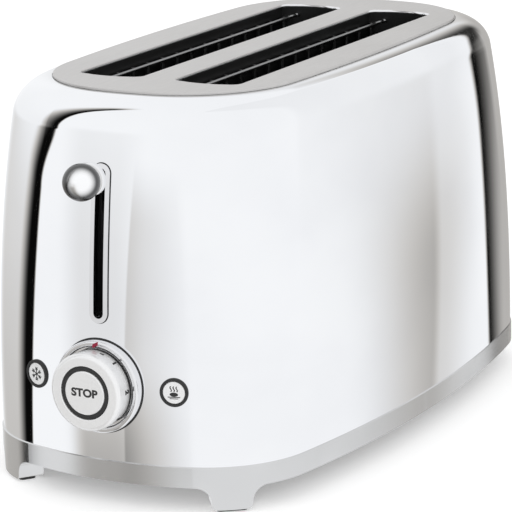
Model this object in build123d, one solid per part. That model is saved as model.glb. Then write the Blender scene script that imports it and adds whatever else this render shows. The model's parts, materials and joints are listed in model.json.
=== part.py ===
from build123d import *
import math
import os

# Retro toaster with two long bread slots, in millimetres, +Z up.
# Everything is drawn about the middle of the body.
# +X is the right side, the controls face -Y, and z = 0 is the table.
# The pieces are saved shifted along Y, so that the origin lies under the middle
# of the whole length, lever included.

# Overall size
body_half_length = 187.5
body_half_width = 103.5
body_height = 216.0
lever_reach = 19.0
y_shift = lever_reach / 2

# Plan outline: arcs for the ends, the sides and the corners, at the base and at the top panel.
# The sides keep the depth of their bow when the length changes.
length_ratio = body_half_length / 187.5
base_end_radius = 176.0
base_side_radius = 770.0 * length_ratio ** 2
base_corner_radius = 59.0
top_end_radius = 182.0
top_side_radius = 1485.0 * length_ratio ** 2
top_corner_radius = 60.5

# Body profile, seen from the side: a gentle lean that rounds over into the top
band_bottom = 13.5
band_top = 25.0
shell_step = 0.6
shell_wall = 1.0
end_lean = 16.4
lean_power = 2.18
shoulder_radius = 17.0
wall_sections = 9
wall_section_power = 1.35
shoulder_sections = 7
side_share = 0.886
panel_thickness = 1.5
panel_edge_round = 0.6
panel_lap = 6.0
skirt_depth = 3.0
skirt_wall = 1.0
skirt_gap = 0.3
shell_top = body_height - panel_thickness
wall_split_y = 118.0

# Bread slots
slot_center_x = 29.5
slot_half_width = 19.5
slot_half_length = 121.5
slot_end_bow = 3.0
slot_corner_radius = 5.5
lip_wall = 1.0
lip_bottom = body_height - 13.0

# Base
band_wall = 3.0
band_edge_chamfer = 0.5
ledge_width = 9.0
ledge_bottom = 14.8
ledge_top = 16.8
plate_gap = 0.3
base_plate_thickness = 1.2
base_plate_top = ledge_top + base_plate_thickness
foot_angle = 37.0
foot_depth = 14.0
foot_half_width = 10.4
foot_flare_half_width = 18.5
foot_bottom = 1.5
foot_corner_round = 2.5
pad_width = 16.0
pad_depth = 9.0
vent_count = 9
vent_pitch = 9.0
vent_length = 46.0
vent_width = 3.5
vent_center_x = 26.0
vent_center_y = 70.0

# Controls
control_z = body_height * 65.0 / 216.0
button_x = 41.9
button_radius = 6.12
button_ring_bore = button_radius + 0.08
button_ring_radius = button_ring_bore + 1.5
button_hole_gap = 0.1
button_travel = 1.5
button_proud = 0.6
button_length = 8.0
plunger_radius = 2.5
button_plunger_length = 4.0
switch_size = 7.0
switch_depth = 12.0
switch_gap = 0.1
knob_radius = 21.0
knob_bore = 14.4
knob_front = 15.3
knob_edge_round = 2.4
knob_flange_depth = 4.2
knob_skirt_radius = knob_radius - 0.5
knob_web = 4.8
knob_back_gap = 1.5
hub_radius = 10.0
hub_bore = hub_radius - 2.0
shaft_gap = 0.08
bezel_radius = knob_radius + 4.0
bezel_bore = knob_radius + 0.7
bezel_front = 3.8
bezel_dish = 1.0
bezel_edge_round = 1.2
sleeve_wall = 0.65
bezel_sleeve_depth = 2.5
knob_hole_radius = 13.5
bearing_wall = 2.5
stop_tube_radius = hub_bore - 0.6
stop_tube_bore = 6.05
stop_plunger_radius = stop_tube_bore - 0.05
stop_flange_thickness = 1.2
stop_flange_lead = stop_flange_thickness + 0.4
stop_ring_radius = knob_bore - 0.4
stop_ring_bore = 12.0
stop_ring_recess = 0.5
stop_cap_radius = stop_ring_bore - 0.2
stop_cap_thickness = 3.3
stop_cap_round = 0.6
stop_travel = 1.5
stop_switch_depth = 2.0
stop_switch_half_width = 4.0

# Control bracket and board
bracket_front_y = -(body_half_length - 13.5)
bracket_back_y = bracket_front_y + 2.0
hub_end_y = bracket_back_y + 4.0
bracket_half_width = 56.0
bracket_top = control_z + 29.0
bracket_foot_length = 12.0
board_front_y = bracket_back_y + 10.0
board_thickness = 1.6
board_half_width = bracket_half_width - 2.0
board_bottom = control_z - 35.0
board_top = control_z + 27.0
standoff_radius = 3.0
standoff_x = board_half_width - 5.0
rotor_radius = 14.0
rotor_thickness = 3.0
rotor_setback = 0.4
wiper_half_width = 1.5
sensor_radius = 15.0
sensor_bore = 8.6
sensor_thickness = 5.4
relay_size = (18.0, 12.0, 16.0)
relay_x = -34.0
relay_bottom = 34.0

# Lever and its slot
lever_z = body_height - 40.0
lever_travel = body_height - 145.0
lever_half_width = 1.6
lever_half_height = 2.3
ball_radius = 9.8
collar_radius = ball_radius - 0.8
collar_thickness = 3.2
collar_round = 1.0
collar_behind_ball = 6.9
slot_opening_half_width = 2.9
slot_opening_bottom = lever_z - lever_travel - 4.0
slot_opening_top = lever_z + 3.4
slot_bezel_width = 2.5
slot_bezel_proud = 1.0
slot_sleeve_wall = 1.0
slot_sleeve_depth = 3.0
slot_fit = 0.1
guide_half_width = 11.0
guide_back_y = -(body_half_length - 21.5)
guide_overlap = 9.0
guide_gap = 0.3

# Chassis
chassis_y = slot_half_length + 7.0
sheet = 1.2
chassis_half_width = 72.0
chassis_top_half_width = slot_center_x + 17.5
chassis_neck_z = body_height - 26.0
foot_flange = 8.0
reflector_x = slot_center_x + slot_half_width + 11.0
reflector_sheet = 0.8
well_bottom = 30.0
divider_sheet = 0.8
tray_door_half_width = 62.0

# Mica boards and windings
mica_offset = slot_half_width + 6.0
mica_thickness = 0.6
mica_bottom = 45.0
mica_top = body_height - 26.0
ribbon_height = 1.6
ribbon_thickness = 0.3
ribbon_runs = 11
ribbon_bottom = mica_bottom + 10.0
ribbon_top = mica_top - 10.0
ribbon_half_length = slot_half_length - 12.0

# Bread guides
guide_open = slot_half_width - 3.3
guide_pivot_z = 36.0
guide_top_z = body_height - 8.0
guide_rail_radius = 1.25
guide_rail_front = 3.2
guide_rail_back = 1.5
guide_wire_radius = 1.0
guide_weld_offset = 1.4
guide_wires = 15
guide_wire_span = 2 * slot_half_length - 17.0
pivot_gap = 0.1
crank_length = 13.0
crank_width = 3.0
crank_thickness = 1.5
crank_eye_radius = 2.6
press_gap = 0.02

# Carriage
rod_x = 18.0
rest_low_z = lever_z - 73.0
lifter_height = 8.0
lifter_sheet = 1.5
lifter_gap = 0.85
lifter_tail = 2.0
tooth_count = 13
tooth_pitch = 17.0
tooth_half_width = 11.0
tooth_width = 3.0
tooth_thickness = 1.2
carriage_front_y = -(chassis_y + 5.5)
carriage_sheet = 1.5
carriage_half_width = rod_x + 20.0
carriage_bottom = lever_z - 76.0
carriage_top = lever_z + 4.0
rod_y = carriage_front_y - 7.5
rod_radius = 3.0
bush_half_width = 5.5
bush_bottom = carriage_bottom + 12.0
bush_top = carriage_top - 8.0
bracket_bottom_z = body_height - 20.0
bracket_sheet = 2.0
bracket_depth = 22.0
top_bracket_half_width = rod_x + 22.0
rod_top = bracket_bottom_z + 5.0
rod_seat_gap = 0.02
spring_x = rod_x + 10.5
spring_y = rod_y + 0.5
spring_radius = 3.0
spring_wire = 0.45
spring_turns = 24
spring_end_gap = 0.6
lug_thickness = 3.0
lug_half_width = 3.5
contact_tab_width = 5.0

# Magnet and contacts
armature_half_width = 9.0
armature_depth = 12.0
armature_thickness = 3.0
armature_bottom = carriage_bottom + 8.0
magnet_gap = 0.3
coil_height = 12.0
coil_wall = 3.0
core_radius = 3.0
contact_x = carriage_half_width + 3.0
contact_leaf = 0.4

# Crumb tray
tray_sheet = 0.8
tray_half_width = tray_door_half_width - 4.0
tray_front_y = -(chassis_y - 11.0)
tray_wall_top = 24.2
tray_clearance = 0.2
tray_face_gap = 0.4
tray_face_thickness = 2.2
rail_wall = 1.0
rail_end_y = body_half_length - 19.5
rail_lip_gap = 0.3
rail_lip_reach = 4.0
pull_half_width = 14.0
pull_bottom = 14.5

# Rear
gland_z = 42.0
gland_flange_radius = 8.5
gland_radius = 6.0
gland_bore = 3.7
gland_flange = 0.8
gland_length = 12.0
terminal_x = -71.0
terminal_y = chassis_y + 16.0
terminal_size = (20.0, 12.0, 14.0)
terminal_pitch = 6.5
lead_radius = 1.1
lead_bend = 2.4
lead_first_run = 6.5
lead_second_run = 3.4

# Screws
screw_radius = 1.5
screw_head_radius = 2.8
screw_head_height = 1.6
screw_length = 5.0
screw_end_inset = 6.5
screw_end_y = 100.0


def block(x0, x1, y0, y1, z0, z1):
    """A box between two corners."""
    return Pos((x0 + x1) / 2, (y0 + y1) / 2, (z0 + z1) / 2) * Box(x1 - x0, y1 - y0, z1 - z0)


def rod_along_y(radius, x, z, y0, y1):
    return Pos(x, (y0 + y1) / 2, z) * Rot(90, 0, 0) * Cylinder(radius, y1 - y0)


def rod_along_z(radius, x, y, z0, z1):
    return Pos(x, y, (z0 + z1) / 2) * Cylinder(radius, z1 - z0)


def tube_along_y(radius, bore, x, z, y0, y1):
    return rod_along_y(radius, x, z, y0, y1) - rod_along_y(bore, x, z, y0 - 1, y1 + 1)


def prism_along_y(sketch, y0, y1):
    """A sketch drawn in X and Z, as a prism from y0 to y1."""
    plane = Plane(origin=(0, y1, 0), x_dir=(1, 0, 0), z_dir=(0, -1, 0))
    return extrude(plane * sketch, y1 - y0)


def group(pieces):
    """Separate solids that share one node."""
    return Compound([piece.solids()[0] for piece in pieces])


# Body outline

def outline_knots(half_length, half_width, end_radius, side_radius, corner_radius):
    """The first quadrant's tangent points and the middle of its corner arc."""
    end_center = (0.0, half_length - end_radius)
    side_center = (half_width - side_radius, 0.0)
    from_end = end_radius - corner_radius
    from_side = side_radius - corner_radius
    dx = side_center[0] - end_center[0]
    dy = side_center[1] - end_center[1]
    apart = math.hypot(dx, dy)
    along = (apart ** 2 + from_end ** 2 - from_side ** 2) / (2 * apart)
    across = math.sqrt(from_end ** 2 - along ** 2)
    ux, uy = dx / apart, dy / apart
    corner_center = (end_center[0] + ux * along + uy * across, end_center[1] + uy * along - ux * across)
    end_angle = math.atan2(corner_center[1] - end_center[1], corner_center[0] - end_center[0])
    side_angle = math.atan2(corner_center[1] - side_center[1], corner_center[0] - side_center[0])

    def on_corner(angle):
        x = corner_center[0] + corner_radius * math.cos(angle)
        y = corner_center[1] + corner_radius * math.sin(angle)
        return (x, y)

    return on_corner(side_angle), on_corner((side_angle + end_angle) / 2), on_corner(end_angle)


def outline_face(z, half_length, half_width, end_radius, side_radius, corner_radius):
    """A bowed rounded rectangle of eight tangent arcs."""
    side, middle, end = outline_knots(half_length, half_width, end_radius, side_radius, corner_radius)

    def at(point, sx, sy):
        return (point[0] * sx, point[1] * sy, z)

    arcs = []
    for sx, sy in ((1, 1), (-1, 1), (-1, -1), (1, -1)):
        corner = [at(side, sx, sy), at(middle, sx, sy), at(end, sx, sy)]
        if sx == sy:
            arcs.append(ThreePointArc(*corner))
            arcs.append(ThreePointArc(at(end, sx, sy), (0, half_length * sy, z), at(end, -sx, sy)))
        else:
            arcs.append(ThreePointArc(*reversed(corner)))
            arcs.append(ThreePointArc(at(side, sx, sy), (half_width * sx, 0, z), at(side, sx, -sy)))
    return Face(Wire(arcs))


def shell_inset(z):
    """How far the shell's ends have leaned and rounded in at height z."""
    share = min(max((z - band_top) / (shell_top - band_top), 0.0), 1.0)
    inset = end_lean * share ** lean_power
    above = z - (shell_top - shoulder_radius)
    if above > 0:
        inset += shoulder_radius - math.sqrt(max(shoulder_radius ** 2 - above ** 2, 0.0))
    return inset


def shell_sizes(z, inward=0.0):
    """The outline's five sizes at height z, moved inward by an even amount."""
    inset = shell_inset(z)
    share = inset / (end_lean + shoulder_radius)
    return (
        body_half_length - shell_step - inset - inward,
        body_half_width - shell_step - inset * side_share - inward,
        base_end_radius + (top_end_radius - base_end_radius) * share - inward,
        base_side_radius + (top_side_radius - base_side_radius) * share - inward,
        base_corner_radius + (top_corner_radius - base_corner_radius) * share - inward,
    )


def loft_levels():
    """Heights of the shell's sections, and the shoulder's angle at each."""
    levels = []
    shoulder_start = shell_top - shoulder_radius
    for index in range(wall_sections):
        share = 1 - (1 - index / wall_sections) ** wall_section_power
        levels.append((band_top + (shoulder_start - band_top) * share, 0.0))
    for index in range(shoulder_sections + 1):
        angle = math.pi / 2 * index / shoulder_sections
        levels.append((shoulder_start + shoulder_radius * math.sin(angle), angle))
    return levels


def shell_solid(inward=0.0):
    """The shell's outside moved inward evenly, as one solid."""
    sections = []
    for z, angle in loft_levels():
        sizes = shell_sizes(z, inward * math.cos(angle))
        sections.append(outline_face(z - inward * math.sin(angle), *sizes))
    return loft(sections)


def base_face(z, inward=0.0):
    return outline_face(
        z,
        body_half_length - inward,
        body_half_width - inward,
        base_end_radius - inward,
        base_side_radius - inward,
        base_corner_radius - inward,
    )


def base_prism(z0, z1, inward=0.0):
    return extrude(base_face(z0, inward), z1 - z0)


def panel_prism(z0, z1, inward=0.0):
    return extrude(outline_face(z0, *shell_sizes(shell_top, inward)), z1 - z0)


def end_surface_y(x, z, inward=0.0):
    """The shell's y on its front end, beside the middle."""
    half_length, _, end_radius, _, _ = shell_sizes(z, inward)
    return -(half_length - end_radius + math.sqrt(end_radius ** 2 - x ** 2))


# Slots and openings

def bread_slot_face(z, center_x, outward=0.0):
    """A long slot with bowed ends and rounded corners."""
    half_width = slot_half_width + outward
    corner_y = slot_half_length - slot_end_bow + outward
    bow_y = slot_half_length + outward
    left, right = center_x - half_width, center_x + half_width
    outline = Wire([
        Line((right, -corner_y, z), (right, corner_y, z)),
        ThreePointArc((right, corner_y, z), (center_x, bow_y, z), (left, corner_y, z)),
        Line((left, corner_y, z), (left, -corner_y, z)),
        ThreePointArc((left, -corner_y, z), (center_x, -bow_y, z), (right, -corner_y, z)),
    ])
    return Face(outline.fillet_2d(slot_corner_radius + outward, outline.vertices()))


def bread_slot_prism(center_x, z0, z1, outward=0.0):
    return extrude(bread_slot_face(z0, center_x, outward), z1 - z0)


def lever_slot_prism(y0, y1, outward=0.0):
    """The upright slot that the lever runs in."""
    height = slot_opening_top - slot_opening_bottom + 2 * outward
    width = 2 * (slot_opening_half_width + outward)
    middle = (slot_opening_top + slot_opening_bottom) / 2
    return prism_along_y(Pos(0, middle) * RectangleRounded(width, height, width / 2 - 0.01), y0, y1)


def button_frame(side):
    """A place on the shell beside the dial, with its Z axis along the outward normal."""
    half_length, _, end_radius, _, _ = shell_sizes(control_z)
    tilt = math.degrees(math.asin(button_x / end_radius)) * side
    y = end_surface_y(button_x, control_z)
    return Pos(side * button_x, y, control_z) * Rot(0, 0, tilt) * Rot(90, 0, 0)


def button_cylinder(side, radius, low, high):
    return button_frame(side) * Pos(0, 0, (low + high) / 2) * Cylinder(radius, high - low)


# Casing

def make_outer_shell():
    shell = shell_solid() - shell_solid(shell_wall)
    shell -= panel_prism(shell_top - 3 * shell_wall, body_height, panel_lap)
    front = -body_half_length - 5
    shell -= lever_slot_prism(front, guide_back_y, slot_sleeve_wall + slot_fit)
    shell -= rod_along_y(knob_hole_radius, 0, control_z, front, bracket_front_y)
    for side in (-1, 1):
        shell -= button_cylinder(side, button_ring_radius + button_hole_gap, -5, 5)
    shell -= rod_along_y(gland_radius + slot_fit, 0, gland_z, body_half_length - 20, body_half_length + 5)
    return shell


def shell_walls():
    """The shell in four walls, front, rear, left and right, which meet on flat seams."""
    shell = make_outer_shell()
    far = 2 * body_half_length
    split = wall_split_y
    return {
        "shell_front_wall": shell & block(-far, far, -far, -split, 0, far),
        "shell_rear_wall": shell & block(-far, far, split, far, 0, far),
        "shell_left_wall": shell & block(-far, 0, -split, split, 0, far),
        "shell_right_wall": shell & block(0, far, -split, split, 0, far),
    }


def make_top_panel():
    plate = panel_prism(shell_top, body_height)
    rim = plate.edges().group_by(Axis.Z)[-1]
    plate = fillet(rim, panel_edge_round)
    skirt_inward = panel_lap + skirt_gap
    skirt = panel_prism(shell_top - skirt_depth, shell_top, skirt_inward)
    skirt -= panel_prism(shell_top - skirt_depth, shell_top, skirt_inward + skirt_wall)
    panel = plate + skirt
    for side in (-1, 1):
        center_x = side * slot_center_x
        panel += bread_slot_prism(center_x, lip_bottom, shell_top, lip_wall)
    for side in (-1, 1):
        center_x = side * slot_center_x
        panel -= bread_slot_prism(center_x, lip_bottom, body_height)
    slot_edges = panel.edges().filter_by(lambda edge: abs(edge.center().Z - body_height) < 0.01)
    slot_edges = slot_edges.filter_by(lambda edge: abs(edge.center().Y) < slot_half_length + 1)
    slot_edges = slot_edges.filter_by(lambda edge: abs(edge.center().X) < slot_center_x + slot_half_width + 1)
    return fillet(slot_edges, panel_edge_round)


def foot_place(side_x, side_y):
    """Where a foot's outer face lies on the base outline, and the direction it faces."""
    knots = outline_knots(
        body_half_length, body_half_width, base_end_radius, base_side_radius, base_corner_radius
    )
    middle = knots[1]
    end = knots[2]
    normal_at_end = math.atan2(end[1] - (body_half_length - base_end_radius), end[0])
    center_x = end[0] - base_corner_radius * math.cos(normal_at_end)
    center_y = end[1] - base_corner_radius * math.sin(normal_at_end)
    across = math.sin(math.radians(foot_angle))
    along = math.cos(math.radians(foot_angle))
    x = center_x + base_corner_radius * across
    y = center_y + base_corner_radius * along
    turn = math.degrees(math.atan2(side_y * along, side_x * across))
    return Pos(side_x * x, side_y * y, 0) * Rot(0, 0, turn)


def foot_profile():
    """A foot seen along its outward direction: narrow at the table, flaring into the band."""
    half, flare = foot_half_width, foot_flare_half_width
    rise = band_bottom - foot_bottom
    top = band_bottom + 0.5
    bend = (half + 0.25 * (flare - half), foot_bottom + 0.7 * rise)
    low = (half + 0.4, foot_bottom + 0.25 * rise)
    right = [Line((half, foot_bottom), low), ThreePointArc(low, bend, (flare, band_bottom))]
    left = [mirror(edge, Plane.YZ) for edge in right]
    outline = right + [Line((flare, band_bottom), (flare, top)), Line((flare, top), (-flare, top))]
    outline += [Line((-flare, top), (-flare, band_bottom))] + left
    outline += [Line((-half, foot_bottom), (half, foot_bottom))]
    face = make_face(outline)
    corners = face.vertices().sort_by(Axis.Y)[:2]
    return fillet(corners, foot_corner_round)


def make_foot(side_x, side_y):
    reach = 3 * foot_depth
    upright = Plane(origin=(-reach, 0, 0), x_dir=(0, 1, 0), z_dir=(1, 0, 0))
    prism = foot_place(side_x, side_y) * extrude(upright * foot_profile(), 2 * reach)
    skirt = base_prism(0, band_bottom + 0.4) - base_prism(0, band_bottom + 0.4, foot_depth)
    return prism & skirt


def make_base_rim():
    ring = base_prism(band_bottom, band_top)
    ring = chamfer(ring.edges().group_by(Axis.Z)[-1], band_edge_chamfer)
    ring -= base_prism(band_bottom, band_top, band_wall)
    ledge = base_prism(ledge_bottom, ledge_top, band_wall - 0.5)
    ledge -= base_prism(ledge_bottom, ledge_top, band_wall + ledge_width)
    rim = ring + ledge
    for side_x in (-1, 1):
        for side_y in (-1, 1):
            rim += make_foot(side_x, side_y)
    for x, y in base_screw_places():
        rim -= rod_along_z(screw_radius, x, y, ledge_bottom - 1, ledge_top + 1)
    door = tray_door_half_width
    behind = body_half_length + 1
    rim -= block(-door, door, body_half_length - 30, behind, base_plate_top, band_top)
    pull = pull_half_width + tray_face_gap
    inner_y = body_half_length - band_wall
    rim -= block(-pull, pull, inner_y - 1.0, behind, band_bottom, band_top)
    return rim


def make_base_plate():
    plate = base_prism(ledge_top, base_plate_top, band_wall + plate_gap)
    slot = SlotOverall(vent_length, vent_width)
    for side_x in (-1, 1):
        for side_y in (-1, 1):
            for index in range(vent_count):
                x = side_x * vent_center_x
                y = side_y * vent_center_y + (index - (vent_count - 1) / 2) * vent_pitch
                plate -= extrude(Pos(x, y, ledge_top) * slot, base_plate_thickness)
    for x, y in base_screw_places():
        plate -= rod_along_z(screw_radius + slot_fit, x, y, ledge_top - 1, base_plate_top + 1)
    return plate


def base_screw_places():
    """Six screws through the base plate into the ledge under it."""
    places = []
    side_x = body_half_width - band_wall - ledge_width / 2
    for side in (-1, 1):
        places.append((side * (side_x - 0.2), 0.0))
        for end in (-1, 1):
            places.append((side * (side_x - screw_end_inset), end * screw_end_y))
    return places


def make_foot_pads():
    pads = []
    inward = (foot_depth + 1.0) / 2
    for side_x in (-1, 1):
        for side_y in (-1, 1):
            pad = Pos(-inward, 0, foot_bottom / 2) * Box(pad_depth, pad_width, foot_bottom)
            pad = fillet(pad.edges().filter_by(Axis.Z), 2.0)
            pads.append(foot_place(side_x, side_y) * pad)
    return group(pads)


# Lever slot and dial bezels

def make_lever_slot_bezel():
    front = -body_half_length - 5
    skin = shell_solid(-slot_bezel_proud) - shell_solid()
    ring = skin & lever_slot_prism(front, guide_back_y, slot_bezel_width)
    sleeve = lever_slot_prism(front, guide_back_y, slot_sleeve_wall)
    sleeve &= shell_solid() - shell_solid(slot_sleeve_depth)
    bezel = ring + sleeve
    bezel -= lever_slot_prism(front, guide_back_y)
    return bezel


def make_lever_guide():
    top = slot_opening_top + guide_overlap
    body = block(-guide_half_width, guide_half_width, -body_half_length, guide_back_y, bracket_top, top)
    body &= shell_solid(shell_wall + guide_gap)
    body -= lever_slot_prism(-body_half_length, guide_back_y + 1)
    pocket_back = end_surface_y(0, slot_opening_top + slot_bezel_width, slot_sleeve_depth + guide_gap)
    pocket = lever_slot_prism(-body_half_length, pocket_back, slot_sleeve_wall + slot_fit)
    return body - pocket


def face_y():
    """The shell's front face at the height of the controls."""
    return end_surface_y(0, control_z)


def make_knob_bezel():
    front = face_y() - bezel_front
    ring = tube_along_y(bezel_radius, bezel_bore, 0, control_z, front, face_y() + 6)
    rim = ring.edges().filter_by(GeomType.CIRCLE).group_by(Axis.Y)[0]
    ring = fillet(rim, bezel_edge_round)
    dish_front = face_y() - bezel_dish
    sleeve_bore = knob_hole_radius - sleeve_wall
    dish = tube_along_y(bezel_bore + 0.5, sleeve_bore, 0, control_z, dish_front, face_y() + 6)
    sleeve_back = face_y() + bezel_sleeve_depth
    sleeve = tube_along_y(knob_hole_radius - slot_fit, sleeve_bore, 0, control_z, dish_front, sleeve_back)
    return (ring + dish - shell_solid()) + sleeve


def make_button_ring(side):
    front = button_proud + 0.3
    back = shell_wall + 1.4
    ring = button_cylinder(side, button_ring_radius, -back, front)
    rim = ring.edges().filter_by(GeomType.CIRCLE).sort_by(Axis.Y)[0]
    ring = fillet(rim, 0.4)
    ring += button_cylinder(side, button_ring_radius + 1.6, -back - 1.2, -back)
    return ring - button_cylinder(side, button_ring_bore, -20, 20)


# Dial, stop button and side buttons

def make_browning_knob():
    front = face_y() - knob_front
    back = face_y() - knob_back_gap
    body = rod_along_y(knob_radius, 0, control_z, front, back)
    body = fillet(body.edges().filter_by(GeomType.CIRCLE).sort_by(Axis.Y)[0], knob_edge_round)
    skirt_front = front + knob_flange_depth
    body -= tube_along_y(knob_radius + 1, knob_skirt_radius, 0, control_z, skirt_front, back + 1)
    body -= rod_along_y(knob_bore, 0, control_z, front - 1, back - knob_web)
    inner_rim = body.edges().filter_by(GeomType.CIRCLE).group_by(Axis.Y)[0]
    body = fillet(inner_rim.sort_by(SortBy.RADIUS)[0], 0.5)
    body += rod_along_y(hub_radius, 0, control_z, back - 1, hub_end_y)
    return body - rod_along_y(hub_bore, 0, control_z, front - 1, hub_end_y + 1)


def make_selector_rotor():
    back = hub_end_y - rotor_setback
    front = back - rotor_thickness
    rotor = tube_along_y(rotor_radius, hub_radius, 0, control_z, front, back)
    tip = control_z + rotor_radius
    return rotor + block(-wiper_half_width, wiper_half_width, front, back, tip - 1, tip + 1)


def stop_flange_front():
    """The front of the stop button's fixed flange, just before the knob's web."""
    return face_y() - knob_back_gap - knob_web - stop_flange_lead


def make_stop_guide():
    flange_front = stop_flange_front()
    tube = tube_along_y(stop_tube_radius, stop_tube_bore, 0, control_z, flange_front, board_front_y)
    flange_back = flange_front + stop_flange_thickness
    return tube + tube_along_y(stop_ring_radius, stop_tube_bore, 0, control_z, flange_front, flange_back)


def make_stop_ring():
    front = face_y() - knob_front + stop_ring_recess
    return tube_along_y(stop_ring_radius, stop_ring_bore, 0, control_z, front, stop_flange_front())


def make_stop_button():
    front = face_y() - knob_front - 0.1
    cap = rod_along_y(stop_cap_radius, 0, control_z, front, front + stop_cap_thickness)
    cap = fillet(cap.edges().filter_by(GeomType.CIRCLE).sort_by(Axis.Y)[0], stop_cap_round)
    plunger_end = board_front_y - stop_switch_depth - switch_gap - stop_travel
    return cap + rod_along_y(stop_plunger_radius, 0, control_z, front + 1, plunger_end)


def make_stop_switch():
    half = stop_switch_half_width
    front = board_front_y - stop_switch_depth
    return block(-half, half, front, board_front_y, control_z - half, control_z + half)


def make_side_button(side):
    cap = button_cylinder(side, button_radius, button_proud - button_length, button_proud)
    cap = fillet(cap.edges().filter_by(GeomType.CIRCLE).sort_by(Axis.Y)[0], 0.5)
    tail = button_proud - button_length - button_plunger_length
    return cap + button_cylinder(side, plunger_radius, tail, -button_length / 2)


def make_side_switch(side):
    front = button_length - button_proud + button_plunger_length + button_travel + switch_gap
    middle = -front - switch_depth / 2
    body = button_frame(side) * Pos(0, 0, middle) * Box(switch_size, switch_size, switch_depth)
    return body & block(-80, 80, -200, board_front_y, 0, 200)


def make_control_bracket():
    half = bracket_half_width
    plate = block(-half, half, bracket_front_y, bracket_back_y, base_plate_top, bracket_top)
    for side in (-1, 1):
        foot_x = side * (half - 9)
        plate += block(foot_x - 9, foot_x + 9, bracket_back_y, bracket_back_y + bracket_foot_length,
                       base_plate_top, base_plate_top + 2)
        plate += block(side * half - 1 - side, side * half + 1 - side, bracket_back_y,
                       bracket_back_y + bracket_foot_length, base_plate_top, base_plate_top + 12)
    plate += block(-guide_half_width, guide_half_width, bracket_front_y, guide_back_y,
                   bracket_top - 2, bracket_top)
    bearing_bore = hub_radius + shaft_gap
    bearing_front = face_y() + 3.2
    plate += rod_along_y(bearing_bore + bearing_wall, 0, control_z, bearing_front, bracket_back_y)
    plate -= rod_along_y(bearing_bore, 0, control_z, bearing_front - 1, bracket_back_y + 1)
    for side in (-1, 1):
        plate -= button_cylinder(side, button_radius + 1.5, -30, 0)
        for z in (board_bottom + 6, board_top - 6):
            plate += rod_along_y(standoff_radius, side * standoff_x, z, bracket_back_y, board_front_y)
    return plate


def make_control_board():
    back = board_front_y + board_thickness
    board = block(-board_half_width, board_half_width, board_front_y, back, board_bottom, board_top)
    return fillet(board.edges().filter_by(Axis.Y), 2.0)


def make_selector_sensor():
    front = board_front_y - sensor_thickness
    ring = tube_along_y(sensor_radius, sensor_bore, 0, control_z, front, board_front_y)
    return ring + (
        block(-sensor_radius, sensor_radius, board_front_y - 3, board_front_y,
              control_z - sensor_radius - 4, control_z)
        - rod_along_y(sensor_bore, 0, control_z, front - 1, board_front_y + 1)
    )


def make_relay():
    width, depth, height = relay_size
    back = board_front_y + board_thickness
    left, right = relay_x - width / 2, relay_x + width / 2
    body = block(left, right, back, back + depth, relay_bottom, relay_bottom + height)
    return chamfer(body.edges().group_by(Axis.Y)[-1], 0.8)


# Lever guide rods and carriage

def make_guide_rods():
    rods = [rod_along_z(rod_radius, side * rod_x, rod_y, base_plate_top, rod_top) for side in (-1, 1)]
    return group(rods)


def make_top_bracket():
    half = top_bracket_half_width
    back = -chassis_y
    top = bracket_bottom_z + bracket_sheet
    bracket = block(-half, half, back - bracket_depth, back, bracket_bottom_z, top)
    bracket += block(-half, half, back - sheet, back, bracket_bottom_z - 10, top)
    for side in (-1, 1):
        bore = rod_radius + rod_seat_gap
        bracket -= rod_along_z(bore, side * rod_x, rod_y, bracket_bottom_z - 1, top + 1)
    return bracket


def make_carriage_plate():
    back = carriage_front_y + carriage_sheet
    half = carriage_half_width
    plate = block(-half, half, carriage_front_y, back, carriage_bottom, carriage_top)
    plate = fillet(plate.edges().filter_by(Axis.Y), 4.0)
    front = rod_y - bush_half_width
    for side in (-1, 1):
        x = side * rod_x
        plate += block(x - bush_half_width, x + bush_half_width, front, carriage_front_y,
                       bush_bottom, bush_top)
        lug_x = side * spring_x
        plate += block(lug_x - lug_half_width, lug_x + lug_half_width, spring_y - lug_half_width,
                       carriage_front_y, carriage_bottom + 3, carriage_bottom + 3 + lug_thickness)
        plate -= rod_along_z(rod_radius + shaft_gap, x, rod_y, bush_bottom - 1, bush_top + 1)
    plate += block(half - contact_tab_width, half, rod_y, carriage_front_y, bush_bottom, bush_bottom + 3)
    return plate


def make_return_springs():
    """Two extension springs that pull the carriage up."""
    low = carriage_bottom + 3 + lug_thickness + spring_end_gap
    high = bracket_bottom_z - spring_end_gap
    springs = []
    for side in (-1, 1):
        path = Helix(pitch=(high - low) / spring_turns, height=high - low, radius=spring_radius)
        path = Pos(side * spring_x, spring_y, low) * path
        section = Plane(origin=path @ 0, z_dir=path % 0) * Circle(spring_wire)
        springs.append(sweep(section, path=path))
    return group(springs)


def ball_center_y():
    return -(body_half_length + lever_reach - ball_radius)


def collar_front_y():
    return ball_center_y() + collar_behind_ball


def make_lever_arm():
    arm_end = collar_front_y() + collar_thickness
    half, tall = lever_half_width, lever_half_height
    return block(-half, half, arm_end, carriage_front_y, lever_z - tall, lever_z + tall)


def make_lever_collar():
    front = collar_front_y()
    collar = rod_along_y(collar_radius, 0, lever_z, front, front + collar_thickness)
    rims = collar.edges().filter_by(GeomType.CIRCLE).sort_by(Axis.Y)
    return fillet([rims[0], rims[-1]], collar_round)


def make_lever_ball():
    ball = Pos(0, ball_center_y(), lever_z) * Sphere(ball_radius)
    return ball - block(-20, 20, collar_front_y(), collar_front_y() + 20, lever_z - 20, lever_z + 20)


def make_bread_lifter(side):
    x = side * slot_center_x
    half = lifter_sheet / 2
    start = carriage_front_y + carriage_sheet
    end = chassis_y + lifter_tail
    top = rest_low_z + lifter_height
    bar = block(x - half, x + half, start, end, rest_low_z, top)
    for index in range(tooth_count):
        y = (index - (tooth_count - 1) / 2) * tooth_pitch
        bar += block(x - tooth_half_width, x + tooth_half_width, y - tooth_width / 2, y + tooth_width / 2,
                     top - tooth_thickness, top)
    return bar


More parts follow.
